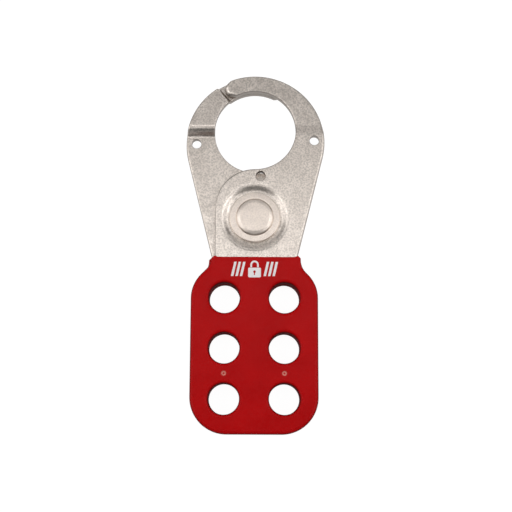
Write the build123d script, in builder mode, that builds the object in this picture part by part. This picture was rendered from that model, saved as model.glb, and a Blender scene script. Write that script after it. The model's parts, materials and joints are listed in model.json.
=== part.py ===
"""Scissor lockout hasp: two stamped steel jaws on one rivet, with dipped vinyl handles.

Frame: the hasp lies flat and closed. +Y runs from the handles to the jaws, +Z is up out of
the front plate, and the origin is under the middle of the whole hasp, on the rear handle's
underside. Lengths are millimetres.

The two halves are the same but for their bends, so each is drawn in its own side's frame:
x and y from the pivot, and z outwards from the middle plane between the two jaws. The rear
side's frame is the front one turned over about the Y axis.
"""
import os
from math import acos, asin, atan2, cos, hypot, radians, sin, sqrt, tan

from build123d import *

# ---- driving dimensions: the jaws -------------------------------------------------------
opening_r = 12.7          # the closed jaws hold a 25.4 mm opening
ring_side_band = 8.95     # steel beside the opening
ring_top_band = 5.1       # steel above the opening
neck_web = 5.05           # steel between the opening and the dish
neck_side = 1.9           # steel between the dish and a neck's straight edge
flank_side = 2.25         # steel between the dish and the foot of the other, sloping edge
steel = 2.3               # sheet thickness
side_gap = 0.3            # air between the two coated handles
tip_gap = 0.3             # air between the two jaw tips, one over the other
ring_past_middle = 1.3    # how far the rear ring steps forward past the middle plane
joggle_run = 2.6          # length of the step in the front ring, level with the opening's centre
rear_joggle_run = 1.7     # length of the deeper step in the rear ring, which ends level with it
bend_r = 1.6              # bend radius in the middle of the sheet
nose_outer_angle = 21.2   # outer root of the nose, past the vertical, about the ring
nose_inner_angle = 27.5   # inner root of the nose, past the vertical, about the opening
nose_length = 2.07        # the nose's outer corner, across from its outer root
nose_outer_drop = 2.0     # and below it
nose_inner_back = 1.0     # the nose's inner corner short of its outer corner
nose_inner_rise = 0.2     # and above its inner root
nose_round = 1.1
stop_gap = 0.1            # air between that corner, unrounded, and the step that it meets
stop_run = 0.6            # length of that step on the rear jaw
tag_hole_r = 1.5          # small tag holes, one on the ring and one on the neck
tag_ring_edge = 3.2       # from the ring's outer edge
tag_ring_below = 2.15     # below the step in the ring
tag_neck_below = 2.2      # below the opening
tag_neck_side = 1.75      # beside the centre line

# ---- driving dimensions: the handles ----------------------------------------------------
coat = 0.9                # vinyl on the steel
coat_round = 0.8          # rounding of the vinyl's outer edges
bare_neck = 2.35          # steel between the dish and the top of the vinyl
shoulder_drop = 8.6       # from the top of the vinyl to the foot of the shoulder
shoulder_angle = 45.0
shoulder_inner_r = 6.6
shoulder_outer_r = 9.6
padlock_r = 4.65          # coated padlock hole
padlock_round = 0.7       # rounding of the vinyl at each padlock hole
padlock_columns = 18.2    # spacing across
padlock_rows = 15.2       # spacing along
padlock_below = 3.9       # first row below the foot of the shoulder
handle_side = 9.3         # steel beside the outer holes' centres
handle_end = 9.55         # steel below the last row
handle_corner_r = 10.2
pip_r = 0.8               # moulding pips between the last two rows
pip_depth = 0.45

# ---- driving dimensions: the pivot ------------------------------------------------------
shank_r = 3.5
shank_play = 0.05         # running clearance in the front jaw
washer_r = 7.8
washer_t = 0.8
washer_round = 0.25
washer_play = 0.05        # running clearance under the front washer
washer_show = 2.0         # washer left bare round a rivet head
head_draft = 1.35         # how far a head's wall leans in
head_round = 0.4
head_below = 0.05         # the rivet heads stay this far below the vinyl's faces
dish_floor_side = 0.55    # dish floor left bare round the washer
dish_wall_run = 1.85      # width of the dish's sloping wall
dish_round = 0.6
pivot_gap = 0.1           # air between the two dish floors

# ---- worked out from the above: levels out from the middle plane ------------------------
neck_back = side_gap / 2 + coat
neck_face = neck_back + steel
coat_back = neck_back - coat
coat_face = neck_face + coat
tip_back = tip_gap / 2
front_joggle = neck_back - tip_back
rear_joggle = neck_back + ring_past_middle
floor_back = pivot_gap / 2
floor_face = floor_back + steel
front_head_back = floor_face + washer_play + washer_t
rear_head_back = floor_face + washer_t
head_face = coat_face - head_below

# ---- worked out from the above: sizes and places from the pivot -------------------------
column_count = 2
row_count = 3
head_base_r = washer_r - washer_show
head_top_r = head_base_r - head_draft
dish_floor_r = washer_r + dish_floor_side
dish_r = dish_floor_r + dish_wall_run
opening_y = dish_r + neck_web + opening_r
ring_r = opening_r + ring_side_band
ring_top = opening_y + opening_r + ring_top_band
ring_y = ring_top - ring_r
joggle_y = opening_y - joggle_run / 2
joggle_end = joggle_y + joggle_run
neck_half = dish_r + neck_side
coat_top = dish_r + bare_neck
shoulder_y = coat_top + shoulder_drop
padlock_first = shoulder_y + padlock_below
grid_y = -padlock_first - padlock_rows * (row_count - 1) / 2
pip_y = grid_y - padlock_rows / 2
handle_half = padlock_columns / 2 + handle_side
handle_bottom = padlock_first + padlock_rows * (row_count - 1) + handle_end
tag_on_ring = (ring_r - tag_ring_edge, joggle_y - tag_ring_below)
tag_on_neck = (tag_neck_side, opening_y - opening_r - tag_neck_below)

# the hasp's frame: the origin is under the middle of its outline
length = ring_top + handle_bottom + coat
pivot_y = length / 2 - ring_top
middle_z = coat_face
margin = length                                 # cutting tools run past the plates by this

front = Plane(origin=(0, pivot_y, middle_z))
rear = Plane(origin=(0, pivot_y, middle_z), x_dir=(-1, 0, 0), z_dir=(0, 0, -1))
pivot_axis = Axis((0, pivot_y, middle_z), (0, 0, 1))


def upright(side, at, along):
    """A plane standing on a side's frame: x runs along the sheet, and y outwards."""
    x_dir = side.x_dir * along[0] + side.y_dir * along[1]
    origin = side.from_local_coords((*at, 0))
    return Plane(origin=origin, x_dir=x_dir, z_dir=x_dir.cross(side.z_dir))


# ---- the jaw's outline: neck, handle plate, ring half and nose --------------------------
slope = tan(radians(shoulder_angle))
left_crossing = (-neck_half, (handle_half - neck_half) * slope - shoulder_y)
flank_foot = (dish_r + flank_side, (handle_half - dish_r - flank_side) * slope - shoulder_y)
# the flank runs from its foot to where it is tangent to the ring
foot_drop = ring_y - flank_foot[1]
flank_angle = acos(ring_r / hypot(flank_foot[0], foot_drop)) - atan2(foot_drop, flank_foot[0])
flank_top = (ring_r * cos(flank_angle), ring_y + ring_r * sin(flank_angle))
opening_foot = (0, opening_y - opening_r)
neck_top = (-neck_half, opening_foot[1] - neck_half)
neck_arc_mid = (-neck_half / sqrt(2), neck_top[1] + neck_half / sqrt(2))
outer_root_angle = radians(nose_outer_angle)
inner_root_angle = radians(nose_inner_angle)
outer_root = (-ring_r * sin(outer_root_angle), ring_y + ring_r * cos(outer_root_angle))
inner_root = (-opening_r * sin(inner_root_angle), opening_y + opening_r * cos(inner_root_angle))
outer_corner = (outer_root[0] - nose_length, outer_root[1] - nose_outer_drop)
inner_corner = (outer_corner[0] + nose_inner_back, inner_root[1] + nose_inner_rise)

with BuildSketch() as jaw_outline:
    with BuildLine():
        FilletPolyline(
            neck_top,
            left_crossing,
            (-handle_half, -shoulder_y),
            (-handle_half, -handle_bottom),
            (handle_half, -handle_bottom),
            (handle_half, -shoulder_y),
            flank_foot,
            flank_top,
            radius=(
                shoulder_inner_r,
                shoulder_outer_r,
                handle_corner_r,
                handle_corner_r,
                shoulder_outer_r,
                shoulder_inner_r,
            ),
        )
        ThreePointArc(flank_top, (0, ring_top), outer_root)
        FilletPolyline(outer_root, outer_corner, inner_corner, inner_root, radius=nose_round)
        ThreePointArc(inner_root, (opening_r, opening_y), opening_foot)
        ThreePointArc(opening_foot, neck_arc_mid, neck_top)
    make_face()

# the vinyl's outline is the handle plate's, grown by the coat and cut straight at the top
with BuildSketch() as coat_outline:
    add(jaw_outline.sketch)
    with Locations((0, neck_top[1])):
        Rectangle(margin, margin, align=(Align.CENTER, Align.MAX), mode=Mode.INTERSECT)
    offset(amount=coat)
    with Locations((0, -coat_top)):
        Rectangle(margin, margin, align=(Align.CENTER, Align.MAX), mode=Mode.INTERSECT)


# ---- the jaws ---------------------------------------------------------------------------
# the rear jaw steps back near its tip, so that the front nose has a step to stop against
corner_out = (-inner_corner[0], inner_corner[1] - opening_y)
stop_angle = atan2(*corner_out) + asin((stop_run + stop_gap) / hypot(*corner_out))
stop_along = (-cos(stop_angle), sin(stop_angle))
# a dish's outer and inner skins stay one thickness apart on its sloping wall
dish_slope = atan2(neck_face - floor_face, dish_r - dish_floor_r)
dish_draw = steel * tan(dish_slope / 2)


def pressed_jaw(side, joggle, run, bore_r):
    """One jaw in its side's frame, without the rear jaw's step."""
    ring_mid = neck_back - joggle + steel / 2
    neck_mid = neck_back + steel / 2
    bend_line = [
        (-margin, neck_mid),
        (joggle_end - run, neck_mid),
        (joggle_end, ring_mid),
        (margin, ring_mid),
    ]
    with BuildPart() as jaw:
        # the bent sheet, seen from the side
        with BuildSketch(upright(side, (0, 0), (0, 1))):
            with BuildLine() as bends:
                FilletPolyline(*bend_line, radius=bend_r)
            trace(bends.line, line_width=steel)
        extrude(amount=margin, both=True)
        if side is rear:
            # beyond a line across the ring the sheet lies at the tips' level
            cut = upright(side, (0, opening_y), stop_along)
            split(bisect_by=Plane(origin=cut.origin, z_dir=cut.x_dir), keep=Keep.BOTTOM)
            with BuildSketch(cut):
                with BuildLine():
                    Polyline(
                        (0, neck_back - joggle),
                        (stop_run, tip_back),
                        (margin, tip_back),
                        (margin, tip_back + steel),
                        (stop_run, tip_back + steel),
                        (0, neck_face - joggle),
                        close=True,
                    )
                make_face()
            extrude(amount=margin, both=True)
        # the blank's outline
        with BuildSketch(side):
            add(jaw_outline.sketch)
        extrude(amount=margin, both=True, mode=Mode.INTERSECT)
        # the dish, pressed in from the outside
        with BuildSketch(upright(side, (0, 0), (1, 0))):
            with BuildLine():
                rim = (dish_r - dish_draw, neck_back)
                Polyline(
                    (0, floor_back),
                    (dish_floor_r - dish_draw, floor_back),
                    rim,
                    (rim[0], floor_face),
                    (0, floor_face),
                    close=True,
                )
            make_face()
        revolve(axis=pivot_axis)
        with BuildSketch(upright(side, (0, 0), (1, 0))):
            with BuildLine():
                FilletPolyline(
                    (0, floor_face),
                    (dish_floor_r, floor_face),
                    (dish_r, neck_face),
                    (2 * dish_r, neck_face),
                    radius=dish_round,
                )
                Polyline((2 * dish_r, neck_face), (0, coat_face), (0, floor_face))
            make_face()
        revolve(axis=pivot_axis, mode=Mode.SUBTRACT)
        with Locations(side):
            Hole(bore_r)
        # the tag holes, and the padlock holes with room for the vinyl that lines them
        with Locations(side):
            with Locations(tag_on_ring, tag_on_neck):
                Hole(tag_hole_r)
            with Locations((0, grid_y)):
                with GridLocations(padlock_columns, padlock_rows, column_count, row_count):
                    Hole(padlock_r + coat)
    return jaw


front_jaw = pressed_jaw(front, front_joggle, joggle_run, shank_r + shank_play)
rear_jaw = pressed_jaw(rear, rear_joggle, rear_joggle_run, shank_r)


# ---- the vinyl handles ------------------------------------------------------------------
def vinyl_grip(side, jaw):
    """The dipped coat on one handle plate, which lines the padlock holes too."""
    with BuildPart() as grip:
        with BuildSketch(side.offset(coat_back)):
            add(coat_outline.sketch)
        extrude(amount=coat_face - coat_back)
        skins = grip.faces().filter_by(Axis.Z)
        fillet(skins.edges(), coat_round)
        with Locations(side):
            with Locations((0, grid_y)):
                with GridLocations(padlock_columns, padlock_rows, column_count, row_count):
                    Hole(padlock_r)
        rims = grip.faces().filter_by(Axis.Z).edges().filter_by(GeomType.CIRCLE)
        fillet(rims.filter_by(lambda rim: abs(rim.radius - padlock_r) < coat / 2), padlock_round)
        with Locations(side.offset(coat_face)):
            with Locations((0, pip_y)):
                with GridLocations(padlock_columns, padlock_rows, column_count, 1):
                    Cylinder(pip_r, 2 * pip_depth, mode=Mode.SUBTRACT)
        add(jaw.part, mode=Mode.SUBTRACT)
    return grip


front_grip = vinyl_grip(front, front_jaw)
rear_grip = vinyl_grip(rear, rear_jaw)

# ---- the pivot --------------------------------------------------------------------------
with BuildPart() as pivot_rivet:
    with BuildSketch(upright(front, (0, 0), (1, 0))):
        with BuildLine():
            Polyline(
                (0, -head_face),
                (head_top_r, -head_face),
                (head_base_r, -rear_head_back),
                (shank_r, -rear_head_back),
                (shank_r, front_head_back),
                (head_base_r, front_head_back),
                (head_top_r, head_face),
                (0, head_face),
                close=True,
            )
        make_face()
    revolve(axis=pivot_axis)
    head_tops = pivot_rivet.faces().filter_by(Axis.Z).sort_by(Axis.Z)
    fillet(head_tops[0].edges(), head_round)
    fillet(head_tops[-1].edges(), head_round)


def washer(side, seat):
    """A flat washer whose underside is at seat, with its outer rim broken."""
    with BuildPart() as ring:
        with BuildSketch(side.offset(seat)):
            Circle(washer_r)
            Circle(shank_r, mode=Mode.SUBTRACT)
        extrude(amount=washer_t)
        outer = ring.edges().filter_by(GeomType.CIRCLE).group_by(SortBy.RADIUS)[-1]
        fillet(outer, washer_round)
    return ring


front_washer = washer(front, floor_face + washer_play)
rear_washer = washer(rear, floor_face)

# ---- one file for each piece ------------------------------------------------------------
os.makedirs("parts", exist_ok=True)

front_jaw.part.label = "front_jaw"
export_step(front_jaw.part, "parts/front_jaw.step")

rear_jaw.part.label = "rear_jaw"
export_step(rear_jaw.part, "parts/rear_jaw.step")

front_grip.part.label = "front_grip"
export_step(front_grip.part, "parts/front_grip.step")

rear_grip.part.label = "rear_grip"
export_step(rear_grip.part, "parts/rear_grip.step")

pivot_rivet.part.label = "pivot_rivet"
export_step(pivot_rivet.part, "parts/pivot_rivet.step")

front_washer.part.label = "front_washer"
export_step(front_washer.part, "parts/front_washer.step")

rear_washer.part.label = "rear_washer"
export_step(rear_washer.part, "parts/rear_washer.step")
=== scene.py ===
# %% [markdown]
# # A lockout hasp, built round its CAD frame
# An electrician closes this hasp through the eye of a switched-off breaker, and every worker
# hangs a padlock in one of its holes. Two jaws stamped from plated sheet turn on one rivet,
# and their handles are dipped in red vinyl. The CAD part is the frame: it sets every size
# and the hinge. This lesson gives each piece the surface that the real one has, such as
# edges rolled over by the press, a dish drawn into the sheet and a coat that flowed.

# %% open the frame
import json
import math
from cmath import exp, phase

import bmesh
import bpy
import numpy as np
from mathutils import Matrix, Vector, geometry


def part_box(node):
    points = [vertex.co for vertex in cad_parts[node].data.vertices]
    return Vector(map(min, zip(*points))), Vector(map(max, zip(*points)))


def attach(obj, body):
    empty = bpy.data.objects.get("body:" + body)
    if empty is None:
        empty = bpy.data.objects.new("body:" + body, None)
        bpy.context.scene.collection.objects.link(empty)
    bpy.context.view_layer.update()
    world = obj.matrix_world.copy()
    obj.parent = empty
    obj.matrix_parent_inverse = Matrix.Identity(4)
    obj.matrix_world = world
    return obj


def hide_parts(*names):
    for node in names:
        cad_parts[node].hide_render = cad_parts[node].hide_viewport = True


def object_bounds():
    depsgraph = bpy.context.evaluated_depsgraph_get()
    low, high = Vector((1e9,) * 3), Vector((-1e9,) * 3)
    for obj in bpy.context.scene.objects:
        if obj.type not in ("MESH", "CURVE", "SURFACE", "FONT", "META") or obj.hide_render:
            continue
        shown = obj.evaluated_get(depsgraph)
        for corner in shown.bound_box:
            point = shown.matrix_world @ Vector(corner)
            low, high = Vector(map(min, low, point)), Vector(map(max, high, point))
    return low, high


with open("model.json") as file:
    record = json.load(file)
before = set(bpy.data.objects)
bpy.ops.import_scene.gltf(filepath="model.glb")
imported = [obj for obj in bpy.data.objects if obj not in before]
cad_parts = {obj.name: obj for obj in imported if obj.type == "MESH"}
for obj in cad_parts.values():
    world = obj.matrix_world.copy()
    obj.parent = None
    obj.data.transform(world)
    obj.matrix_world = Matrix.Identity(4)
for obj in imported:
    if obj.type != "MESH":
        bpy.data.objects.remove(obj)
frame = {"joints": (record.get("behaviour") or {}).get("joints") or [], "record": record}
cad_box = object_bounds()

# %% [markdown]
# ## Sizes from the frame
# The frame knows where the pivot is, where the holes are and how far each piece reaches, so
# those sizes are read and never typed. What a box can't tell, such as a bend, is named
# below in millimetres. Both halves of the hasp are drawn the same way, from the pivot, with
# z outwards from the plane between the jaws. The rear half is then turned over.

# %% read the frame
MM = 0.001
mounts = {mount["name"]: mount for mount in frame["record"]["mounts"]}
pivot = Vector(frame["joints"][0]["pos_m"])


def from_pivot(point):
    """A frame point in millimetres from the pivot."""
    return (Vector(point) - pivot) / MM


def reach(node):
    """A node's lowest and highest corner in millimetres from the pivot."""
    return tuple(from_pivot(corner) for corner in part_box(node))


jaw_low, jaw_high = reach("front_jaw")
grip_low, grip_high = reach("front_grip")
washer_low, washer_high = reach("front_washer")
rear_washer_low, rear_washer_high = reach("rear_washer")
rivet_low, rivet_high = reach("pivot_rivet")
rear_ring_face = reach("rear_jaw")[1].z

opening_r = mounts["jaw_opening"]["dims"]["r_mm"]
opening_y = from_pivot(mounts["jaw_opening"]["pos_m"]).y
padlock_holes = [
    from_pivot(mount["pos_m"]) for name, mount in mounts.items() if name.startswith("padlock")
]
padlock_r = mounts["padlock_hole_left_1"]["dims"]["r_mm"]
print(f"opening {2 * opening_r} mm, {len(padlock_holes)} padlock holes of {2 * padlock_r} mm")

# %% [markdown]
# The values below are what a press shop would have on its drawing: the sheet, the coat, and
# the places where the blank turns a corner or bends. They could be measured again from the
# CAD mesh, but a named value says what it is for. Everything after them is worked out.

# %% name what a box can't tell, in millimetres
STEEL = 2.3  # the sheet's thickness
COAT = 0.9  # vinyl on the sheet
FLANK_SIDE = 2.25  # steel between the dish and the foot of the neck's sloping edge
NECK_SIDE = 1.9  # steel between the dish and the neck's straight edge
JOGGLE_RUN = 2.6  # length of the step in the front half of the ring
REAR_JOGGLE_RUN = 1.7  # length of the deeper step in the rear half
BEND_R = 1.6  # bend radius in the middle of the sheet
SHOULDER_DROP = 8.6  # from the vinyl's top to the foot of the shoulder
SHOULDER_INNER_R = 6.6
SHOULDER_OUTER_R = 9.6
HANDLE_CORNER_R = 10.2
NOSE_OUTER_ANGLE = 21.2  # where the nose leaves the ring, past the vertical
NOSE_INNER_ANGLE = 27.5  # where it leaves the opening
NOSE_LENGTH = 2.07  # the nose's outer corner, across from where it leaves the ring
NOSE_OUTER_DROP = 2.0  # and below it
NOSE_INNER_BACK = 1.0  # the nose's inner corner, short of its outer one
NOSE_INNER_RISE = 0.2  # and above where it leaves the opening
NOSE_ROUND = 1.5
STOP_GAP = 0.1  # air between the closed nose's corner and the rear step
STOP_RUN = 0.6  # length of that step
STOP_BEND = 0.25
TAG_HOLE_R = 1.5  # the small hole in the ring and the one in the neck
TAG_RING_EDGE = 3.2
TAG_RING_BELOW = 2.15
TAG_NECK_BELOW = 2.2
TAG_NECK_SIDE = 1.75
DISH_FLOOR_SIDE = 0.55  # flat floor of the dish beside the washer
DISH_WALL_RUN = 1.85  # width of the dish's sloping wall
DISH_ROUND = 2.4
BORE_R = 3.55
SHANK_R = 3.5

# %% work out the hasp's other sizes
ring_r = -from_pivot(cad_box[0]).x
ring_top = jaw_high.y
ring_y = ring_top - ring_r
neck_face = jaw_high.z
neck_back = neck_face - STEEL
coat_back = grip_low.z
tip_back = coat_back
floor_back = jaw_low.z
handle_half = grip_high.x - COAT
handle_bottom = grip_low.y + COAT
coat_top = grip_high.y
shoulder_y = coat_top - SHOULDER_DROP
washer_r = washer_high.x
dish_floor_r = washer_r + DISH_FLOOR_SIDE
dish_r = dish_floor_r + DISH_WALL_RUN
neck_half = dish_r + NECK_SIDE
joggle_y = opening_y - JOGGLE_RUN / 2
joggle_end = joggle_y + JOGGLE_RUN
print(f"ring {2 * ring_r:.1f} mm across, handles {2 * grip_high.x:.1f} mm wide")

# %% [markdown]
# ## Finishes
# Four finishes cover the hasp. They could be image textures, but a picture has one size and
# a seam. Each finish is worked out from the place on the object instead, in metres, so the
# grain keeps its real size on every piece and flows round the edges.


# %% helpers for shader nodes
def add(tree, kind, inputs, **settings):
    """A node with its inputs set to values or joined to other nodes' outputs."""
    made = tree.nodes.new(kind)
    for key, value in settings.items():
        setattr(made, key, value)
    for key, value in inputs.items():
        if isinstance(value, bpy.types.NodeSocket):
            tree.links.new(value, made.inputs[key])
        else:
            made.inputs[key].default_value = value
    return made


def noise(tree, place, size_mm, detail=3.0):
    """Noise whose blotches are about that many millimetres across."""
    inputs = {"Vector": place, "Scale": 1 / (size_mm * MM), "Detail": detail}
    return add(tree, "ShaderNodeTexNoise", inputs).outputs["Fac"]


def spread(tree, value, low, high, start=0.3, end=0.7):
    """A value's middle stretch, spread from low to high."""
    inputs = {"Value": value, "From Min": start, "From Max": end, "To Min": low, "To Max": high}
    return add(tree, "ShaderNodeMapRange", inputs).outputs["Result"]


def between(tree, share, low, high):
    """A number between two others by a share from 0 to 1."""
    inputs = {"Value": share, "To Min": low, "To Max": high}
    return add(tree, "ShaderNodeMapRange", inputs).outputs["Result"]


def blend(tree, share, first, second):
    """A mix of two colours by a share."""
    made = add(tree, "ShaderNodeMix", {"Factor": share}, data_type="RGBA")
    for socket, value in zip((made.inputs[6], made.inputs[7]), (first, second)):
        if isinstance(value, bpy.types.NodeSocket):
            tree.links.new(value, socket)
        else:
            socket.default_value = (*value, 1)
    return made.outputs[2]


def shaded(colour, share):
    """A colour darkened to a share of itself."""
    return tuple(channel * share for channel in colour)


def bump(tree, value, depth_mm, strength, under=None):
    """A bump of that depth, on top of another one."""
    inputs = {"Height": value, "Distance": depth_mm * MM, "Strength": strength}
    if under is not None:
        inputs["Normal"] = under
    return add(tree, "ShaderNodeBump", inputs).outputs["Normal"]


def mark_of(tree, name):
    """A value that the mesh carries at each of its points."""
    return add(tree, "ShaderNodeAttribute", {}, attribute_name=name).outputs["Fac"]


def new_finish(name):
    """A material with its node tree, its main shader and its place on the object."""
    material = bpy.data.materials.new(name)
    material.use_nodes = True
    tree = material.node_tree
    place = add(tree, "ShaderNodeTexCoord", {}).outputs["Object"]
    return material, tree, tree.nodes["Principled BSDF"], place


def joined(tree, shader, colour, rough, normal):
    """Join a finish's colour, roughness and normal to its shader."""
    tree.links.new(colour, shader.inputs["Base Color"])
    tree.links.new(rough, shader.inputs["Roughness"])
    tree.links.new(normal, shader.inputs["Normal"])


# %% [markdown]
# Plating on rolled sheet is never even. It clouds over a few millimetres, it has a fine
# orange-peel grain, and the walls that the punch cut are duller and darker. One shade of
# metal with a scratch map could stand for it, but three sizes of noise give the clouds, the
# grain and the shallow dents separately, and the wall's dullness follows a mark on the mesh.

# %% plated steel, for the sheet and for the rivet and washers
SHEET_BRIGHT, SHEET_DULL = (0.86, 0.78, 0.71), (0.57, 0.51, 0.46)
RIVET_BRIGHT, RIVET_DULL = (0.90, 0.80, 0.715), (0.72, 0.63, 0.57)
CLOUD_SIZE, PATCH_SIZE, GRAIN_SIZE, DENT_SIZE = 4.0, 1.3, 0.5, 2.6
GRAIN_DEPTH, DENT_DEPTH = 0.02, 0.03
PIT_SHADE = 0.75
WALL_SHADE = 0.5
WALL_ROUGHNESS = 0.5
PATCH_ROUGHNESS = 0.1


def plated(name, bright, dull, smooth, grit, cut_walls):
    """Clouded plating with an orange-peel grain, and duller walls where a punch cut it."""
    material, tree, shader, place = new_finish(name)
    clouds = spread(tree, noise(tree, place, CLOUD_SIZE), 0.0, 0.5)
    grain = noise(tree, place, GRAIN_SIZE)
    flecks = spread(tree, grain, 0.0, grit, 0.4, 0.62)
    colour = blend(tree, flecks, blend(tree, clouds, bright, dull), shaded(dull, PIT_SHADE))
    patches = noise(tree, place, PATCH_SIZE)
    rough = spread(tree, patches, smooth, smooth + PATCH_ROUGHNESS)
    if cut_walls:
        wall = spread(tree, mark_of(tree, "cut_wall"), 0.0, 1.0, 0.3, 1.0)
        colour = blend(tree, wall, colour, shaded(dull, WALL_SHADE))
        rough = between(tree, wall, rough, WALL_ROUGHNESS)
    peel = bump(tree, grain, GRAIN_DEPTH, 0.5)
    dents = bump(tree, noise(tree, place, DENT_SIZE, 2.0), DENT_DEPTH, 0.4, peel)
    joined(tree, shader, colour, rough, dents)
    shader.inputs["Metallic"].default_value = 1.0
    return material


sheet_steel = plated("plated steel", SHEET_BRIGHT, SHEET_DULL, 0.28, 0.65, True)
rivet_steel = plated("rivet steel", RIVET_BRIGHT, RIVET_DULL, 0.36, 0.3, False)

# %% [markdown]
# Dipped vinyl is one deep red with a slow waviness, because it set while it flowed. Its walls,
# round the holes and along the outer edge, are darkened as painted shade, and the two dimples
# have a painted highlight round their rims. Both come from marks on the mesh, so they stay in
# place on any geometry.

# %% red vinyl
VINYL_RED, VINYL_DEEP = (0.5, 0.0035, 0.0045), (0.44, 0.0025, 0.0035)
# painted shade: the dark colour given to the vinyl's walls
VINYL_PAINTED_SHADE = (0.09, 0.001, 0.0012)
# painted highlight: the pale colour of the ring round each dimple
VINYL_PAINTED_HIGHLIGHT = (0.85, 0.42, 0.34)
VINYL_SPECULAR = 0.06
VINYL_WALL_ROUGHNESS = 0.85


def vinyl():
    """Glossy red vinyl with painted shade on its walls and painted highlights at the pips."""
    material, tree, shader, place = new_finish("red vinyl")
    shade = spread(tree, noise(tree, place, 9.0, 2.0), 0.0, 1.0)
    # painted shade on the walls round the holes and along the outer edge, which are also
    # rougher
    painted_wall_shade = spread(tree, mark_of(tree, "cut_wall"), 0.0, 1.0, 0.55, 1.0)
    colour = blend(tree, painted_wall_shade, blend(tree, shade, VINYL_RED, VINYL_DEEP), VINYL_PAINTED_SHADE)
    # painted highlight: a pale ring round each dimple's rim
    colour = blend(tree, mark_of(tree, "pale_rim"), colour, VINYL_PAINTED_HIGHLIGHT)
    gloss = spread(tree, noise(tree, place, 1.6, 5.0), 0.2, 0.34)
    rough = between(tree, painted_wall_shade, gloss, VINYL_WALL_ROUGHNESS)
    waves = bump(tree, noise(tree, place, 5.5, 1.0), 0.12, 0.5)
    pores = bump(tree, noise(tree, place, 0.4, 2.0), 0.008, 0.5, waves)
    joined(tree, shader, colour, rough, pores)
    shader.inputs["Specular IOR Level"].default_value = VINYL_SPECULAR
    return material


red_vinyl = vinyl()

# %% [markdown]
# The mark is pad-printed. The ink is white and matt, and the red shows through a little
# where the pad pressed less. It could be a flat white, but a thin spot or two is what tells
# print from a sticker.

# %% white ink
INK_WHITE, INK_THIN = (0.9, 0.88, 0.88), (0.8, 0.45, 0.45)


def ink():
    """White printing ink, a little thin where the vinyl waves away from the pad."""
    material, tree, shader, place = new_finish("white ink")
    thin = spread(tree, noise(tree, place, 0.5, 4.0), 0.0, 0.3, 0.5, 0.8)
    colour = blend(tree, thin, INK_WHITE, INK_THIN)
    tree.links.new(colour, shader.inputs["Base Color"])
    shader.inputs["Roughness"].default_value = 0.5
    return material


white_ink = ink()
print("finishes:", [material.name for material in bpy.data.materials])

# %% [markdown]
# ## Drawing outlines
# A stamped blank is a closed line of straight runs and arcs. It could be a Bezier curve, but
# the edge of the sheet is rolled over by a different amount along different stretches. So
# the outline is worked out as points, and each point is a complex number: turning it and
# measuring an angle are then one multiplication or division.

# %% arcs and rounded corners
POINT_STEP = 0.45


def arc(centre, radius, start, end):
    """Points along an arc between two angles in degrees."""
    sweep = math.radians(end - start)
    count = max(6, round(abs(sweep) * radius / POINT_STEP))
    turns = [math.radians(start) + sweep * k / count for k in range(count + 1)]
    return [centre + radius * exp(1j * turn) for turn in turns]


def rounded(points, radii, step=POINT_STEP):
    """An open path through points, with each inner corner rounded to its radius."""
    path = [points[0]]
    for before, corner, after, radius in zip(points, points[1:], points[2:], radii):
        heading = (corner - before) / abs(corner - before)
        turn = phase((after - corner) / heading)
        start = corner - heading * radius * math.tan(abs(turn) / 2)
        to_centre = heading * 1j * math.copysign(radius, turn)
        count = max(4, round(abs(turn) * radius / step))
        swings = [turn * k / count for k in range(count + 1)]
        path += [start + to_centre - to_centre * exp(1j * swing) for swing in swings]
    return path + [points[-1]]


def evenly(points, step):
    """The closed outline with its long runs divided and its doubled points dropped."""
    loop = []
    for here, there in zip(points, points[1:] + points[:1]):
        length = abs(there - here)
        if length < step / 20:
            continue
        count = max(1, round(length / step))
        loop += [here + (there - here) * k / count for k in range(count)]
    return np.array(loop)


def circle(centre, radius, count=72):
    """A hole's outline, clockwise, so that its left side is in the material."""
    return np.array([centre + radius * exp(-2j * math.pi * k / count) for k in range(count)])


print("a round of 10 mm has", len(evenly(arc(0, 10, 0, 360), POINT_STEP)), "points")

# %% [markdown]
# ## The blank of a jaw
# Both jaws are punched with one die: a handle plate, a shoulder on each side, a neck with
# one straight and one sloping edge, half of the ring and a rounded nose that reaches past
# the middle. The sloping edge is tangent to the ring, so its angle is worked out.

# %% the blank's outline
slope_x = dish_r + FLANK_SIDE
slope_foot = complex(slope_x, handle_half - slope_x + shoulder_y)
foot_drop = ring_y - slope_foot.imag
tangent_angle = math.acos(ring_r / abs(complex(slope_foot.real, foot_drop)))
tangent_angle -= math.atan2(foot_drop, slope_foot.real)
ring_centre = complex(0, ring_y)
opening_centre = complex(0, opening_y)
slope_top = ring_centre + ring_r * exp(1j * tangent_angle)
outer_root = ring_centre + ring_r * exp(1j * math.radians(90 + NOSE_OUTER_ANGLE))
inner_root = opening_centre + opening_r * exp(1j * math.radians(90 + NOSE_INNER_ANGLE))
outer_corner = outer_root - complex(NOSE_LENGTH, NOSE_OUTER_DROP)
inner_corner = complex(outer_corner.real + NOSE_INNER_BACK, inner_root.imag + NOSE_INNER_RISE)
neck_arc_y = opening_y - opening_r - neck_half

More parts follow.
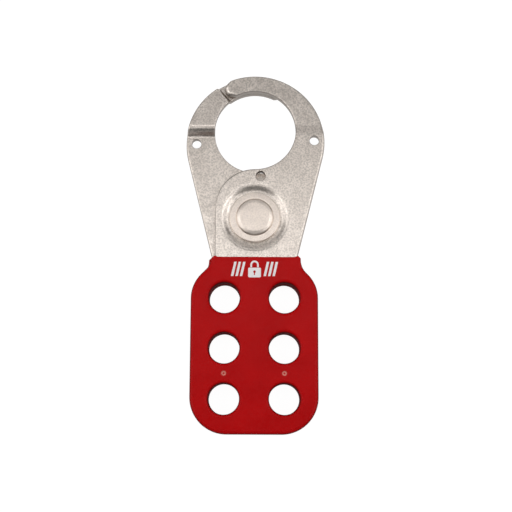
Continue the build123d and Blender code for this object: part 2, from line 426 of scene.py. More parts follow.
handle_corners = [
    complex(-neck_half, neck_arc_y),
    complex(-neck_half, handle_half - neck_half + shoulder_y),
    complex(-handle_half, shoulder_y),
    complex(-handle_half, handle_bottom),
    complex(handle_half, handle_bottom),
    complex(handle_half, shoulder_y),
    slope_foot,
    slope_top,
]
handle_radii = [
    SHOULDER_INNER_R,
    SHOULDER_OUTER_R,
    HANDLE_CORNER_R,
    HANDLE_CORNER_R,
    SHOULDER_OUTER_R,
    SHOULDER_INNER_R,
]
handle_path = rounded(handle_corners, handle_radii)
ring_path = arc(ring_centre, ring_r, math.degrees(tangent_angle), 90 + NOSE_OUTER_ANGLE)
nose_corners = [outer_root, outer_corner, inner_corner, inner_root]
nose_path = rounded(nose_corners, [NOSE_ROUND] * 2, 0.2)
opening_path = arc(opening_centre, opening_r, 90 + NOSE_INNER_ANGLE, -90)
neck_path = arc(complex(0, neck_arc_y), neck_half, 90, 180)
blank_path = handle_path + ring_path + nose_path + opening_path + neck_path
blank = evenly(blank_path, POINT_STEP)
print(f"the blank's outline has {len(blank)} points")

# %% [markdown]
# ## How far a point is pressed out of the plane
# The press bends the sheet in three places: a step in the ring, so that the two halves meet
# in one plane, a dish round the rivet, and on the rear jaw a small stop for the front
# jaw's nose. A lattice or a displacement could bend a flat plate, but neither keeps its
# thickness. Here each bend is a short profile with rounded corners, read as a table that
# gives the height of the outer and the inner skin at any point.


# %% the step in each half of the ring
def skins(path, radii, gauge, step=0.1):
    """Tables of a bent sheet's two skins, from the line midway between them."""
    line = np.array(rounded(path, radii, step))
    along = np.gradient(line)
    out = 1j * along / np.abs(along) * gauge / 2
    return line + out, line - out


def height(table, place):
    """Read a profile table at places."""
    return np.interp(place, table.real, table.imag)


FAR = 200.0  # past every end of the hasp
neck_mid = neck_back + STEEL / 2
joggles = {}
for side_name, run, drop in (
    ("front", JOGGLE_RUN, neck_back - tip_back),
    ("rear", REAR_JOGGLE_RUN, neck_back + rear_ring_face),
):
    bend_line = [
        complex(-FAR, neck_mid),
        complex(joggle_end - run, neck_mid),
        complex(joggle_end, neck_mid - drop),
        complex(FAR, neck_mid - drop),
    ]
    joggles[side_name] = skins(bend_line, [BEND_R, BEND_R], STEEL)
    print(f"the {side_name} ring steps by {drop:.2f} mm over {run} mm")

# %% the dish, and the stop on the rear jaw
dish_depth = neck_back - floor_back
dish_draw = STEEL * math.tan(math.atan2(dish_depth, DISH_WALL_RUN) / 2)


def dish_table(inward):
    """How deep the dish is at each distance from the rivet's axis."""
    path = [
        complex(0, -dish_depth),
        complex(dish_floor_r - inward, -dish_depth),
        complex(dish_r - inward, 0),
        complex(FAR, 0),
    ]
    return np.array(rounded(path, [DISH_ROUND] * 2, 0.1))


dish_outer, dish_inner = dish_table(0), dish_table(dish_draw)

nose_corner = complex(-inner_corner.real, inner_corner.imag - opening_y)
stop_turn = math.atan2(nose_corner.real, nose_corner.imag)
stop_turn += math.asin((STOP_RUN + STOP_GAP) / abs(nose_corner))
stop_across = exp(1j * (math.pi / 2 - stop_turn))
stop_along = stop_across * 1j
stop_rise = rear_ring_face + tip_back
stop_path = [-FAR + 0j, 0j, complex(STOP_RUN, stop_rise), complex(FAR, stop_rise)]
stop_table = np.array(rounded(stop_path, [STOP_BEND] * 2, 0.05))
print(f"the dish is {dish_depth:.2f} mm deep and the stop {stop_rise:.2f} mm high")


def jaw_skin(side_name, outer):
    """A function that gives the height of a jaw's outer or inner skin at complex places."""
    bend = joggles[side_name][0 if outer else 1]
    dish = dish_outer if outer else dish_inner

    def skin(place):
        level = height(bend, place.imag) + height(dish, np.abs(place))
        if side_name == "rear":
            past_stop = ((place - opening_centre) * stop_along.conjugate()).real
            level = level + height(stop_table, past_stop)
        return level

    return skin


# %% [markdown]
# ## A plate with rolled edges
# Punching drags the sheet's outer edge down into a smooth roll and leaves the other edge
# crisp. A Bevel modifier would round every edge alike, so the plate is built from its
# outline inwards: rings of points step round the roll on each side, and a constrained
# Delaunay triangulation fills the faces with points close together where the sheet bends.
# The same builder makes the vinyl coats, which only have larger, softer edges.

# %% which way is in, and what lies inside
ROLL_STEPS = 6
SUPPORT = 0.12  # from a roll's end to the first ring of points on the face
CLEAR_OF_EDGE = 0.3


def inward(loop):
    """Unit vectors into the material along a closed outline."""
    along = np.roll(loop, -1) - np.roll(loop, 1)
    return 1j * along / np.abs(along)


def inside(place, loops):
    """Which places lie in the material, by counting crossings of every outline."""
    crossings = np.zeros(len(place), int)
    for loop in loops:
        ends = np.roll(loop, -1)
        for a, b in zip(loop, ends):
            spans = (a.imag > place.imag) != (b.imag > place.imag)
            if spans.any():
                cut = a.real + (place.imag - a.imag) * (b.real - a.real) / (b.imag - a.imag)
                crossings += spans & (place.real < cut)
    return crossings % 2 == 1


def clear(seeds, loops):
    """The seeds that lie in the material and not too close to an outline."""
    seeds = seeds[inside(seeds, loops)]
    for loop in loops:
        for chunk in np.array_split(loop, max(1, len(loop) // 200)):
            near = np.abs(seeds[:, None] - chunk[None, :]).min(axis=1) < CLEAR_OF_EDGE
            seeds = seeds[~near]
    return seeds


# %% the plate builder
def plate(loops, rolls, back_rolls, seeds, outer_skin, inner_skin):
    """Vertices, faces and a wall mask of a plate between two skins, outline first."""
    points, mask, faces = [], [], []
    rims = {"outer": [], "inner": []}
    quarter = [math.pi / 2 * k / ROLL_STEPS for k in range(ROLL_STEPS + 1)]

    def ring(places, heights, wall):
        start = len(points)
        points.extend((p.real, p.imag, z) for p, z in zip(places, heights))
        mask.extend([wall] * len(places))
        return start

    for loop, roll, back_roll in zip(loops, rolls, back_rolls):
        into = inward(loop)
        rim = loop + into * (roll + SUPPORT)
        rims["outer"].append((len(points), rim))
        starts = [ring(rim, outer_skin(rim), 0.0)]
        for turn in reversed(quarter):
            places = loop + into * roll * (1 - math.cos(turn))
            heights = outer_skin(places) - roll * (1 - math.sin(turn))
            starts.append(ring(places, heights, math.cos(turn)))
        for turn in quarter:
            places = loop + into * back_roll * (1 - math.cos(turn))
            heights = inner_skin(places) + back_roll * (1 - math.sin(turn))
            starts.append(ring(places, heights, math.cos(turn)))
        rim = loop + into * (back_roll + SUPPORT)
        rims["inner"].append((len(points), rim))
        starts.append(ring(rim, inner_skin(rim), 0.0))
        count = len(loop)
        for upper, lower in zip(starts, starts[1:]):
            for k in range(count):
                after = (k + 1) % count
                faces.append((upper + k, upper + after, lower + after, lower + k))

    for which, skin in (("outer", outer_skin), ("inner", inner_skin)):
        edges, owners, flat = [], [], []
        for start, places in rims[which]:
            base, count = len(flat), len(places)
            flat += list(places)
            owners += list(range(start, start + count))
            edges += [(base + k, base + (k + 1) % count) for k in range(count)]
        inner_points = clear(seeds, [places for _, places in rims[which]])
        start = ring(inner_points, skin(inner_points), 0.0)
        flat += list(inner_points)
        owners += list(range(start, start + len(inner_points)))
        corners = [Vector((p.real, p.imag)) for p in flat]
        filled = geometry.delaunay_2d_cdt(corners, edges, [], 0, 1e-6)
        made, _, triangles, origin, _, _ = filled
        centres = np.array([sum(complex(*made[i]) for i in t) / 3 for t in triangles])
        keep = inside(centres, [places for _, places in rims[which]])
        for triangle, kept in zip(triangles, keep):
            if kept:
                faces.append(tuple(owners[origin[i][0]] for i in triangle))
    return points, faces, mask


# %% [markdown]
# ## From a drawing to an object
# Each half is drawn from the pivot with z outwards. Placing a piece turns it into the
# frame's metres, and for the rear half also turns it over about the Y axis. A mirror would
# be shorter, but it turns every face inside out, and a rotation doesn't.


# %% make an object of a half's points
def to_frame(side_name, points):
    """Points of one half, in millimetres from the pivot, as frame positions in metres."""
    turn = 1 if side_name == "front" else -1
    placed = np.array(points) * (MM * turn, MM, MM * turn)
    return placed + np.array(pivot)


def new_object(name, material, side_name, points, faces, **marks):
    """A smooth-shaded object at the origin, with a value at each point for each mark."""
    mesh = bpy.data.meshes.new(name)
    mesh.from_pydata(to_frame(side_name, points).tolist(), [], faces)
    for mark_name, values in marks.items():
        attribute = mesh.attributes.new(mark_name, "FLOAT", "POINT")
        attribute.data.foreach_set("value", values)
    mesh.materials.append(material)
    return placed_object(name, mesh)


def placed_object(name, mesh):
    """An object of a finished mesh, with its faces turned outwards."""
    shape = bmesh.new()
    shape.from_mesh(mesh)
    unused = [point for point in shape.verts if not point.link_faces]
    bmesh.ops.delete(shape, geom=unused, context="VERTS")
    bmesh.ops.recalc_face_normals(shape, faces=shape.faces)
    open_edges = sum(1 for edge in shape.edges if not edge.is_manifold)
    volume = shape.calc_volume(signed=True) / MM**3
    shape.to_mesh(mesh)
    shape.free()
    mesh.shade_smooth()
    thing = bpy.data.objects.new(name, mesh)
    bpy.context.scene.collection.objects.link(thing)
    print(f"{name}: {len(mesh.polygons)} faces, {volume:.1f} mm3, {open_edges} open edges")
    return thing


# %% [markdown]
# ## Where the mesh needs points
# A flat face needs few points, and a bend needs rows of them close together. The seeds are a
# wide staggered grid, rows across the step in the ring, circles round the dish and rows
# across the rear stop, so the rounded bends shade smoothly.

# %% seeds for the jaws
GRID = 1.2
ROW_STEP, COLUMN_STEP, ROW_REACH = 0.2, 0.8, 1.4
CIRCLE_STEP, CIRCLE_SPACING = 0.2, 0.7
CIRCLES_INSIDE, CIRCLES_OUTSIDE = 1.6, 0.9
GRID_OFF_ROWS, GRID_OFF_DISH, GRID_OFF_STOP = 0.3, 2.3, 1.4
STOP_STEP, STOP_SPACING, STOP_REACH = 0.1, 0.6, 0.6


def staggered(low, high, step):
    """A staggered grid of places over a box."""
    rows = np.arange(low.imag, high.imag, step * math.sqrt(3) / 2)
    columns = np.arange(low.real, high.real, step)
    grid = [columns + (k % 2) * step / 2 + 1j * y for k, y in enumerate(rows)]
    return np.concatenate(grid)


def circles(centre, radii, step):
    """Places on circles round a centre."""
    rings = []
    for radius in radii:
        count = max(6, round(2 * math.pi * radius / step))
        rings.append(centre + radius * np.exp(2j * np.pi * np.arange(count) / count))
    return np.concatenate(rings)


def jaw_seeds(side_name):
    """Places for a jaw's faces, dense at its bends."""
    low = complex(-ring_r, handle_bottom)
    grid = staggered(low, complex(ring_r, ring_top), GRID)
    bend_rows = np.arange(joggle_y - ROW_REACH, joggle_end + ROW_REACH, ROW_STEP)
    columns = np.arange(-ring_r, ring_r, COLUMN_STEP)
    rows = (columns[None, :] + 1j * bend_rows[:, None]).ravel()
    radii = np.arange(dish_floor_r - CIRCLES_INSIDE, dish_r + CIRCLES_OUTSIDE, CIRCLE_STEP)
    dish = circles(0, radii, CIRCLE_SPACING)
    below, above = bend_rows[0] - GRID_OFF_ROWS, bend_rows[-1] + GRID_OFF_ROWS
    in_rows = (grid.imag > below) & (grid.imag < above)
    in_dish = np.abs(np.abs(grid) - (dish_floor_r + dish_r) / 2) < GRID_OFF_DISH
    grid = grid[~in_rows & ~in_dish]
    if side_name == "front":
        return np.concatenate([grid, rows, dish])
    across = np.arange(opening_r, ring_r + 4, STOP_SPACING)
    along = np.arange(-STOP_REACH, STOP_RUN + STOP_REACH, STOP_STEP)
    stop = (across[None, :] * stop_across + along[:, None] * stop_along).ravel()
    past_stop = ((grid - opening_centre) * stop_along.conjugate()).real
    grid = grid[np.abs(past_stop) >= GRID_OFF_STOP]
    return np.concatenate([grid, rows, dish, stop + opening_centre])


print("seeds:", {name: len(jaw_seeds(name)) for name in ("front", "rear")})

# %% [markdown]
# ## The two jaws
# The outer edge of the ring rolls over softly, the opening stays crisper, and the nose was
# tumbled round so that it slides through a breaker's eye. Weights on a Bevel modifier could
# say so edge by edge. One table of roll radii along the outline says it in a few lines, and
# it is averaged along the edge so that no stretch ends abruptly.

# %% roll radii
EDGE_ROLL = 0.75
OPENING_ROLL = 0.36
NECK_ROLL = 0.45
NOSE_ROLL = 1.2
BACK_EDGE_ROLL = 0.6
BACK_ROLL = 0.25
HOLE_ROLL = 0.2
NECK_REACH = 17  # how far from the pivot the neck's edge is
NECK_OVER_SHOULDER = 6
NOSE_OVER_OPENING = 8
EASE_POINTS = 3
ON_LINE = 0.02


def eased(values, reach_points):
    """Values round a closed outline, averaged with their neighbours."""
    total = sum(np.roll(values, shift) for shift in range(-reach_points, reach_points + 1))
    return total / (2 * reach_points + 1)


def blank_rolls(ring_roll, opening_roll, neck_roll, nose_roll):
    """The roll radius at each point of the blank's outline."""
    rolls = np.full(len(blank), ring_roll)
    rolls[np.abs(np.abs(blank - opening_centre) - opening_r) < ON_LINE] = opening_roll
    beside = (blank.real < 0) & (blank.imag > shoulder_y + NECK_OVER_SHOULDER)
    rolls[beside & (np.abs(blank) < NECK_REACH)] = neck_roll
    past_root = blank.real < outer_root.real - ON_LINE
    rolls[past_root & (blank.imag > opening_y + NOSE_OVER_OPENING)] = nose_roll
    return eased(rolls, EASE_POINTS)


front_rolls = blank_rolls(EDGE_ROLL, OPENING_ROLL, NECK_ROLL, NOSE_ROLL)
back_rolls = blank_rolls(BACK_EDGE_ROLL, BACK_ROLL, BACK_ROLL, BACK_EDGE_ROLL)
print(f"rolls from {front_rolls.min():.2f} to {front_rolls.max():.2f} mm")


# %% the jaws
def jaw(side_name):
    """One stamped jaw, in the place of its CAD node."""
    bore = circle(0, BORE_R)
    tags = [
        circle(complex(ring_r - TAG_RING_EDGE, joggle_y - TAG_RING_BELOW), TAG_HOLE_R),
        circle(complex(TAG_NECK_SIDE, opening_y - opening_r - TAG_NECK_BELOW), TAG_HOLE_R),
    ]
    pads = [circle(complex(hole.x, hole.y), padlock_r + COAT) for hole in padlock_holes]
    holes = [bore] + tags + pads
    small = [np.full(len(hole), HOLE_ROLL) for hole in holes]
    points, faces, mask = plate(
        [blank] + holes,
        [front_rolls] + small,
        [back_rolls] + small,
        jaw_seeds(side_name),
        jaw_skin(side_name, True),
        jaw_skin(side_name, False),
    )
    name = f"{side_name}_jaw_steel"
    return new_object(name, sheet_steel, side_name, points, faces, cut_wall=mask)


front_jaw = jaw("front")
rear_jaw = jaw("rear")

# %% [markdown]
# ## The vinyl coats
# A dipped coat follows the steel at an even thickness, so its outline is the blank's handle
# moved outwards and cut off where the dipping stopped. The cut is straight, apart from a
# small peak at each side where the liquid crept up the sheet's edge. A Solidify modifier
# would give the same thickness everywhere, but liquid vinyl rounds its edges and lines the
# padlock holes with a soft lip, so the coat is a plate of its own with large rolls.

# %% the coat's outline
COAT_ROLL = 1.15
COAT_BACK_ROLL = 0.7
COAT_TOP_ROLL = 0.2
COAT_CORNER = 0.6
TOP_REACH = 1.2  # how far below the dip line the top begins, in corner radii
ROLL_REACH = 3  # how far below it the small roll ends, in corner radii
CREEP = 0.35
CREEP_WIDTH = 0.55


def coat_outline():
    """The handle's outline moved out by the coat and cut straight at the dip line."""
    path = np.array(rounded(handle_corners, handle_radii, 0.3))
    along = np.gradient(path)
    moved = path + -1j * along / np.abs(along) * COAT
    below = np.flatnonzero(moved.imag < coat_top - TOP_REACH * COAT_CORNER)
    first, last = below[0], below[-1]

    def at_dip_line(under, over):
        return under + (over - under) * (coat_top - under.imag) / (over.imag - under.imag)

    left = at_dip_line(moved[first], moved[first - 1])
    right = at_dip_line(moved[last], moved[last + 1])
    top = rounded([moved[last], right, left, moved[first]], [COAT_CORNER] * 2, 0.15)
    outline = evenly(list(moved[first + 1 : last]) + top, 0.25)
    on_top = outline.imag > coat_top - 0.01
    for corner in (left + COAT, right - COAT):
        away = (outline.real - corner.real) / CREEP_WIDTH
        outline[on_top] += 1j * CREEP * np.exp(-(away[on_top] ** 2))
    return outline


def coat_rolls(outline, handle_roll):
    """A small roll along the dip line and a larger one round the handle."""
    near_top = outline.imag > coat_top - ROLL_REACH * COAT_CORNER
    return eased(np.where(near_top, COAT_TOP_ROLL, handle_roll), 5)


coat_edge = coat_outline()
print(f"the coat's outline has {len(coat_edge)} points")

# %% [markdown]
# Two small dimples are left below the middle holes, where pins held the plate in the bath.
# A bump would show them from straight above only, so they are pressed into the mesh. The
# face lies a hair below the CAD's, and the printed mark fills that hair.

# %% the coat's face, with its dimples
LIP_ROLL = 0.95
MARK_LIFT = 0.04
PIP_R = 0.8
PIP_DEPTH = 0.42
PIP_FLAT = 0.8  # how much of a dimple is its flat floor
# the painted highlight round each dimple: its radius, its width and its strength
PIP_RIM = 0.62
PIP_RIM_WIDTH = 0.24
PIP_HIGHLIGHT = 0.75
PIP_CLEAR = 1.9

hole_rows = sorted({round(hole.y, 3) for hole in padlock_holes})
hole_columns = sorted({round(hole.x, 3) for hole in padlock_holes})
pip_y = (hole_rows[0] + hole_rows[1]) / 2
pips = [complex(x, pip_y) for x in hole_columns]


def from_pips(place):
    """How far each place is from the nearest dimple."""
    return np.min([np.abs(place - pip) for pip in pips], axis=0)


def coat_face_skin(place):
    """The coat's face, with a round dimple at each pip."""
    level = np.full(len(place), grip_high.z - MARK_LIFT)
    for pip in pips:
        away = np.abs(place - pip) / PIP_R
        level -= PIP_DEPTH * np.exp(-((away / PIP_FLAT) ** 4))
    return level


def coat_back_skin(place):
    """The coat's flat back."""
    return np.full(len(place), coat_back)


print("dimples at", [f"{pip.real:.1f}, {pip.imag:.1f} mm" for pip in pips])


# %% the two coats
def grip(side_name):
    """One dipped handle coat, in the place of its CAD node."""
    holes = [circle(complex(hole.x, hole.y), padlock_r) for hole in padlock_holes]
    low = complex(-handle_half - 1, handle_bottom - 1)
    grid = staggered(low, complex(handle_half + 1, 0), GRID)
    dimples = [circles(pip, np.arange(0.1, 1.6, 0.12), 0.25) for pip in pips]
    points, faces, mask = plate(
        [coat_edge] + holes,
        [coat_rolls(coat_edge, COAT_ROLL)] + [np.full(len(hole), LIP_ROLL) for hole in holes],
        [coat_rolls(coat_edge, COAT_BACK_ROLL)]
        + [np.full(len(hole), COAT_BACK_ROLL) for hole in holes],
        np.concatenate([grid[from_pips(grid) > PIP_CLEAR]] + dimples),
        coat_face_skin,
        coat_back_skin,
    )
    # a painted highlight in a ring round each dimple, on the face only
    flat = np.array([complex(x, y) for x, y, _ in points])
    on_face = np.array([z for _, _, z in points]) > coat_back + 1
    away = from_pips(flat) / PIP_R
    rim = PIP_HIGHLIGHT * on_face * np.exp(-(((away - PIP_RIM) / PIP_RIM_WIDTH) ** 2))
    name = f"{side_name}_vinyl_coat"
    return new_object(name, red_vinyl, side_name, points, faces, cut_wall=mask, pale_rim=rim)


front_grip = grip("front")
rear_grip = grip("rear")

# %% [markdown]
# ## Pieces turned on a lathe
# The rivet was headed in a press and the washers were punched, but all three are round, so
# one node tree turns each of them from its profile. A Screw modifier turns a profile too,
# but it leaves the points on the axis to be merged by hand. Here the profile is swept round
# a circle too small to matter, and the tree merges what meets on the axis.


# %% the lathe, as a node tree
def socket_name(tree, name):
    """The identifier of a node tree's input."""
    return next(item.identifier for item in tree.interface.items_tree if item.name == name)


def lathe_tree():
    """A tree that turns a profile curve round the axis."""
    tree = bpy.data.node_groups.new("turned piece", "GeometryNodeTree")
    for name, kind in (("Geometry", "Geometry"), ("Facets", "Int"), ("Material", "Material")):
        tree.interface.new_socket(name, in_out="INPUT", socket_type=f"NodeSocket{kind}")
    tree.interface.new_socket("Turned", in_out="OUTPUT", socket_type="NodeSocketGeometry")
    given = tree.nodes.new("NodeGroupInput").outputs
    axis = add(tree, "GeometryNodeCurvePrimitiveCircle", {"Resolution": given["Facets"]})
    axis.inputs["Radius"].default_value = AXIS_CIRCLE
    swept = add(tree, "GeometryNodeCurveToMesh", {"Curve": axis.outputs[0]})
    tree.links.new(given["Geometry"], swept.inputs["Profile Curve"])
    inputs = {"Geometry": swept.outputs[0], "Distance": MEETS_ON_AXIS}
    merged = add(tree, "GeometryNodeMergeByDistance", inputs)
    whole = add(tree, "GeometryNodeRealizeInstances", {"Geometry": merged.outputs[0]})
    inputs = {"Geometry": whole.outputs[0], "Material": given["Material"]}
    finished = add(tree, "GeometryNodeSetMaterial", inputs)
    result = tree.nodes.new("NodeGroupOutput")
    tree.links.new(finished.outputs[0], result.inputs["Turned"])
    return tree


def evaluated(source, tree, values):
    """The mesh that a node tree makes of an object, which is then removed."""
    bpy.context.scene.collection.objects.link(source)
    modifier = source.modifiers.new("nodes", "NODES")
    modifier.node_group = tree
    for name, value in values.items():
        modifier[socket_name(tree, name)] = value
    made = source.evaluated_get(bpy.context.evaluated_depsgraph_get())
    mesh = bpy.data.meshes.new_from_object(made)
    bpy.data.objects.remove(source)
    return mesh


AXIS_CIRCLE = 1e-6
MEETS_ON_AXIS = 1e-5
FACETS = 96
lathe = lathe_tree()


def turned(name, profile, closed):
    """A piece turned about the pivot from radius and height in millimetres."""
    curve = bpy.data.curves.new(name, "CURVE")
    curve.dimensions = "3D"
    line = curve.splines.new("POLY")
    line.points.add(len(profile) - 1)
    for point, place in zip(line.points, profile):
        point.co = (place.real * MM, -place.imag * MM, 0, 1)
    line.use_cyclic_u = closed
    source = bpy.data.objects.new(name, curve)
    mesh = evaluated(source, lathe, {"Facets": FACETS, "Material": rivet_steel})
    mesh.transform(Matrix.Translation(pivot))
    return placed_object(name, mesh)


# %% [markdown]
# The rivet's head is a low button. The press leaves its top almost flat, rounds it over and
# draws the last half millimetre down as a steep wall. A cylinder with a bevel would catch
# the light in one even ring, so the wall leans a little and ends in a small brim.

# %% the rivet
HEAD_DRAFT = 1.35
HEAD_ROUND = 0.8
HEAD_CROWN = 0.04
HEAD_WALL = 0.55
HEAD_WALL_LEAN = 0.3
FOOT_BRIM = 0.06
FOOT_ROUND = 0.03
head_base_r = rivet_high.x
head_top_r = head_base_r - HEAD_DRAFT


def head(seat, face):
    """Half of the rivet's profile, from the axis over the head to the shank."""
    lean = 1 if face > seat else -1
    path = [
        complex(0, face),
        complex(head_top_r, face - lean * HEAD_CROWN),
        complex(head_base_r - HEAD_WALL_LEAN, seat + lean * HEAD_WALL),
        complex(head_base_r, seat + lean * FOOT_BRIM),
        complex(head_base_r, seat),
        complex(SHANK_R, seat),
    ]
    return rounded(path, [HEAD_ROUND, HEAD_ROUND, FOOT_ROUND, FOOT_ROUND], 0.08)


front_head = head(washer_high.z, rivet_high.z)
rear_head = head(rear_washer_low.z, rivet_low.z)
rivet = turned("headed_rivet", front_head + rear_head[::-1], False)

# %% [markdown]
# A punched washer has a rolled edge on the side that the punch met and a sharp one behind,
# like the sheet itself. The same lathe makes it, from a closed profile with a bore.

# %% the washers
WASHER_CROWN = 0.02
WASHER_BACK_BEVEL = 0.05


def washer(name, low, high, outer):
    """A punched washer between two heights, with its outer side up or down."""
    near, far = (low, high) if outer > 0 else (high, low)
    path = [
        complex(BORE_R, near),
        complex(washer_r - WASHER_BACK_BEVEL, near),
        complex(washer_r, near + (far - near) * 0.2),
        complex(washer_r, far - outer * WASHER_CROWN),
        complex(head_base_r, far),
        complex(BORE_R, far),
    ]
    return turned(name, rounded(path, [0.03, 0.1, 0.3, 1.0], 0.08), True)


front_washer = washer("front_rivet_washer", washer_low.z, washer_high.z, 1)
rear_washer = washer("rear_rivet_washer", rear_washer_low.z, rear_washer_high.z, -1)

# %% [markdown]
# ## The printed mark
# The handle carries a white pad print. A generic padlock sign stands in for the wording. It
# could be painted by the vinyl's shader, but a print has a crisp edge at any zoom, so it is
# a thin plate of ink set into the face.

# %% the padlock sign
INK = 0.03
INK_ROLL = 0.012
MARK_HIGH, MARK_LOW = coat_top - 1.15, coat_top - 6.35
BODY_HALF, BODY_HEIGHT, BODY_CORNER = 1.95, 3.0, 0.4
SHACKLE_R, SHACKLE_BAND, SHACKLE_FOOT = 1.3, 0.55, 0.12
KEYHOLE_R, KEYHOLE_DROP, KEYHOLE_HALF, KEYHOLE_FOOT = 0.42, 1.25, 0.2, 0.75
ink_base = grip_high.z - MARK_LIFT


def ink_top(place):
    """The height of the ink's upper side."""
    return np.full(len(place), ink_base + INK)


def ink_bottom(place):
    """The height of the ink's underside, just in the vinyl."""
    return np.full(len(place), ink_base - INK)


def printed(name, outline, holes=()):
    """The mesh of one printed shape, drawn from the pivot."""
    loops = [evenly(outline, 0.2)] + [evenly(hole, 0.2) for hole in holes]
    rolls = [np.full(len(loop), INK_ROLL) for loop in loops]
    points, faces, _ = plate(loops, rolls, rolls, np.array([0j]), ink_top, ink_bottom)
    mesh = bpy.data.meshes.new(name)
    mesh.from_pydata((np.array(points) * MM).tolist(), [], faces)
    return mesh


body_top = MARK_LOW + BODY_HEIGHT
body_corners = [
    complex(0, MARK_LOW),
    complex(BODY_HALF, MARK_LOW),
    complex(BODY_HALF, body_top),
    complex(-BODY_HALF, body_top),
    complex(-BODY_HALF, MARK_LOW),
    complex(0, MARK_LOW),
]
body = rounded(body_corners, [BODY_CORNER] * 4, 0.1)[:-1]
keyhole = arc(complex(0, body_top - KEYHOLE_DROP), KEYHOLE_R, 250, -70)
keyhole += [complex(x, MARK_LOW + KEYHOLE_FOOT) for x in (KEYHOLE_HALF, -KEYHOLE_HALF)]
shackle_centre = complex(0, MARK_HIGH - SHACKLE_R)
shackle_inner_r = SHACKLE_R - SHACKLE_BAND
shackle_foot = body_top + SHACKLE_FOOT
shackle = arc(shackle_centre, SHACKLE_R, 0, 180)
shackle += [complex(-SHACKLE_R, shackle_foot), complex(-shackle_inner_r, shackle_foot)]
shackle += arc(shackle_centre, shackle_inner_r, 180, 0)
shackle += [complex(shackle_inner_r, shackle_foot), complex(SHACKLE_R, shackle_foot)]
sign_meshes = [printed("sign", body, [keyhole]), printed("sign", shackle)]
print(f"the sign is {MARK_HIGH - MARK_LOW:.1f} mm high")

# %% [markdown]
# A row of slanted bars fills each side of the sign. They could be drawn one by one. The bars
# repeat, so a node tree instances one of them along a line, and the two rows are the same
# tree with a different start.


# %% the bars, instanced along a line
def row_tree():
    """A tree that repeats its shape along X and gives the row one material."""
    tree = bpy.data.node_groups.new("row of bars", "GeometryNodeTree")
    kinds = ("Geometry", "Geometry"), ("Bars", "Int"), ("Start", "Vector"), ("Step", "Vector")
    for name, kind in (*kinds, ("Material", "Material")):
        tree.interface.new_socket(name, in_out="INPUT", socket_type=f"NodeSocket{kind}")
    tree.interface.new_socket("Row", in_out="OUTPUT", socket_type="NodeSocketGeometry")
    given = tree.nodes.new("NodeGroupInput").outputs
    inputs = {"Count": given["Bars"], "Start Location": given["Start"], "Offset": given["Step"]}
    line = add(tree, "GeometryNodeMeshLine", inputs)
    inputs = {"Points": line.outputs[0], "Instance": given["Geometry"]}
    placed = add(tree, "GeometryNodeInstanceOnPoints", inputs)
    whole = add(tree, "GeometryNodeRealizeInstances", {"Geometry": placed.outputs[0]})
    inputs = {"Geometry": whole.outputs[0], "Material": given["Material"]}
    finished = add(tree, "GeometryNodeSetMaterial", inputs)
    result = tree.nodes.new("NodeGroupOutput")
    tree.links.new(finished.outputs[0], result.inputs["Row"])
    return tree


BARS = 3
BAR_WIDTH, BAR_STEP, BAR_LEAN = 0.75, 1.35, 0.5
BAR_INSET = 0.4
BAR_GAP = 1.65
bar_low, bar_high = MARK_LOW + BAR_INSET, MARK_HIGH - BAR_INSET
bar = [
    complex(-BAR_WIDTH / 2 - BAR_LEAN, bar_low),
    complex(BAR_WIDTH / 2 - BAR_LEAN, bar_low),
    complex(BAR_WIDTH / 2 + BAR_LEAN, bar_high),
    complex(-BAR_WIDTH / 2 + BAR_LEAN, bar_high),
]
bars = row_tree()
first_bar = BODY_HALF + BAR_GAP
row_meshes = []
for start in (first_bar, -first_bar - (BARS - 1) * BAR_STEP):
    source = bpy.data.objects.new("bar", printed("bar", bar))
    values = {"Bars": BARS, "Start": (start * MM, 0, 0), "Step": (BAR_STEP * MM, 0, 0)}
    row_meshes.append(evaluated(source, bars, values | {"Material": white_ink}))

# %% the whole mark
mark_shape = bmesh.new()
for part in row_meshes + sign_meshes:
    mark_shape.from_mesh(part)
mark_mesh = bpy.data.meshes.new("printed_mark")
mark_shape.to_mesh(mark_mesh)
mark_shape.free()
mark_mesh.transform(Matrix.Translation(pivot))
mark_mesh.materials.append(white_ink)
mark = placed_object("printed_mark", mark_mesh)

# %% [markdown]
# ## Which half each piece rides on
# The rivet is headed tight in the rear jaw's bore, so it and both washers belong to the
# rear half, and only the front jaw with its coat and mark swings. Each new piece stands for
# one CAD node, apart from the mark, which the CAD part doesn't have.

# %% rides, replacements and finishes
for piece, body, node, finish in (
    (front_jaw, "front_half", "front_jaw", "plated_steel"),
    (rear_jaw, "rear_half", "rear_jaw", "plated_steel"),
    (front_grip, "front_half", "front_grip", "red_vinyl"),
    (rear_grip, "rear_half", "rear_grip", "red_vinyl"),
    (rivet, "rear_half", "pivot_rivet", "rivet_steel"),
    (front_washer, "rear_half", "front_washer", "rivet_steel"),
    (rear_washer, "rear_half", "rear_washer", "rivet_steel"),
    (mark, "front_half", None, "white_ink"),
):
    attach(piece, body)
    if node:
        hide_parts(node)
    print(f"{piece.name} rides on {body}")

# %% [markdown]
# ## Floor and light
# The hasp lies on a white light table. A lit floor would do, but the ground round the hasp
# and the view through its holes would then shade off, so the table glows by itself and
# stays plain white.

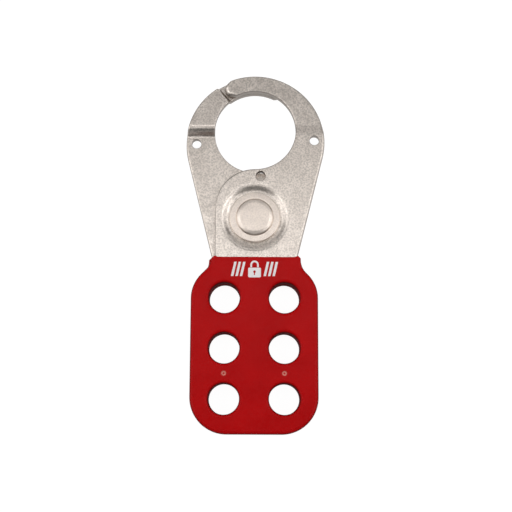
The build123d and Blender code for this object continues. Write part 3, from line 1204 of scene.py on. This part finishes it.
# %% the light table
TABLE_SIDE = 1.2
TABLE_BELOW = 0.00002
TABLE_WHITE = (0.12, 0.12, 0.12, 1)
TABLE_GLOW = 0.96
WHITE = (1, 1, 1, 1)
half = TABLE_SIDE / 2
corners = [(x * half, y * half, -TABLE_BELOW) for x, y in ((-1, -1), (1, -1), (1, 1), (-1, 1))]
table_mesh = bpy.data.meshes.new("light_table")
table_mesh.from_pydata(corners, [], [(0, 1, 2, 3)])
table_material, _, table_shader, _ = new_finish("light table")
for name, value in (
    ("Base Color", TABLE_WHITE),
    ("Roughness", 0.9),
    ("Specular IOR Level", 0.0),
    ("Emission Color", WHITE),
    ("Emission Strength", TABLE_GLOW),
):
    table_shader.inputs[name].default_value = value
table_mesh.materials.append(table_material)
light_table = bpy.data.objects.new("light_table", table_mesh)
bpy.context.scene.collection.objects.link(light_table)
print(f"the table is {TABLE_SIDE} m wide")

# %% [markdown]
# Flat plated steel is a soft mirror, so what it reflects is its shading. One big softbox
# would make every slope equally bright. Here the light is split by the height it comes
# from: panels on the left and right, strips on the far side and a few weak strips on the
# near side. A flat face reflects the highest far strips and is bright. A slope that faces
# the viewer reflects the dark between the near strips and draws a dark line, and a bend
# next to it catches the near strip above and draws a light one.

# %% the softboxes
LIGHT_DISTANCE = 0.7
LIGHT_BACK = 0.01  # the lights look at a point that far below the pivot
PANEL = (0.6, 0.25)
STRIP_DEPTH = 0.1
LEFT, RIGHT, FAR_SIDE, NEAR_SIDE = 180, 0, 90, 270
LEFT_PANELS = ((15, 1.2), (35, 0.85), (55, 1.6))  # elevation, radiance
RIGHT_PANELS = ((15, 1.15), (35, 0.55), (55, 1.8))
FAR_STRIPS = ((86, 0.5, 1.2), (80, 0.5, 1.42), (68, 0.5, 0.22), (50, 1, 1.4), (30, 1, 0.9))
NEAR_STRIPS = ((74, 0.5, 1.4), (55, 0.5, 0.3), (20, 0.5, 0.6))  # elevation, width, radiance


def softbox(name, azimuth, elevation, size, radiance):
    """A soft rectangular light that looks at the hasp's middle from a direction in degrees."""
    turn, rise = math.radians(azimuth), math.radians(elevation)
    level = math.cos(rise)
    away = Vector((math.cos(turn) * level, math.sin(turn) * level, math.sin(rise)))
    lamp = bpy.data.lights.new(name, "AREA")
    lamp.shape = "RECTANGLE"
    lamp.size, lamp.size_y = size
    lamp.energy = radiance * 4 * size[0] * size[1]
    box = bpy.data.objects.new(name, lamp)
    box.location = Vector((0, pivot.y - LIGHT_BACK, 0)) + away * LIGHT_DISTANCE
    box.rotation_euler = away.to_track_quat("Z", "Y").to_euler()
    bpy.context.scene.collection.objects.link(box)


for name, azimuth, panels in (("left", LEFT, LEFT_PANELS), ("right", RIGHT, RIGHT_PANELS)):
    for elevation, radiance in panels:
        softbox(f"{name}_panel_{elevation}", azimuth, elevation, PANEL, radiance)
for name, azimuth, strips in (("far", FAR_SIDE, FAR_STRIPS), ("near", NEAR_SIDE, NEAR_STRIPS)):
    for elevation, width, radiance in strips:
        size = (width, STRIP_DEPTH)
        softbox(f"{name}_strip_{elevation}", azimuth, elevation, size, radiance)
print("lights:", len(bpy.data.lights))

# %% [markdown]
# The camera sees a white background, while the hasp sees only a faint glow from it. A white
# world for both would fill the dark lines, and a dark one would show beyond the table.

# %% the background
STUDIO_AIR = 0.05
BACKDROP = 1.2
world = bpy.data.worlds.new("studio")
bpy.context.scene.world = world
world.use_nodes = True
backdrop = world.node_tree.nodes["Background"]
seen = add(world.node_tree, "ShaderNodeLightPath", {}).outputs["Is Camera Ray"]
backdrop_light = spread(world.node_tree, seen, STUDIO_AIR, BACKDROP, 0.0, 1.0)
world.node_tree.links.new(backdrop_light, backdrop.inputs["Strength"])
backdrop.inputs["Color"].default_value = WHITE
bpy.context.scene.view_settings.view_transform = "Standard"
print(f"the hasp sees a background of {STUDIO_AIR}, the camera one of {BACKDROP}")

# %% [markdown]
# ## Camera
# The hasp is seen from above and from a little below its middle, so the lower sides of its
# edges show. A camera could track an empty, but a place from the pivot and two angles say
# where it is. It is tilted by about ten degrees and rolled by a quarter of one.

# %% the camera
CAMERA_PLACE = (0.43, -65.9, 310.6)
CAMERA_TILT = 9.92
CAMERA_ROLL = 0.25
CAMERA_LENS = 71.84
SENSOR_WIDTH = 36
lens = bpy.data.cameras.new("camera")
lens.lens = CAMERA_LENS
lens.sensor_width = SENSOR_WIDTH
camera = bpy.data.objects.new("camera", lens)
turn = Matrix.Rotation(math.radians(CAMERA_TILT), 4, "X")
roll = Matrix.Rotation(math.radians(CAMERA_ROLL), 4, "Z")
place = Matrix.Translation(pivot + Vector(CAMERA_PLACE) * MM)
camera.matrix_world = place @ turn @ roll
bpy.context.scene.collection.objects.link(camera)
bpy.context.scene.camera = camera
print(f"the camera is {Vector(CAMERA_PLACE).length:.0f} mm from the pivot")
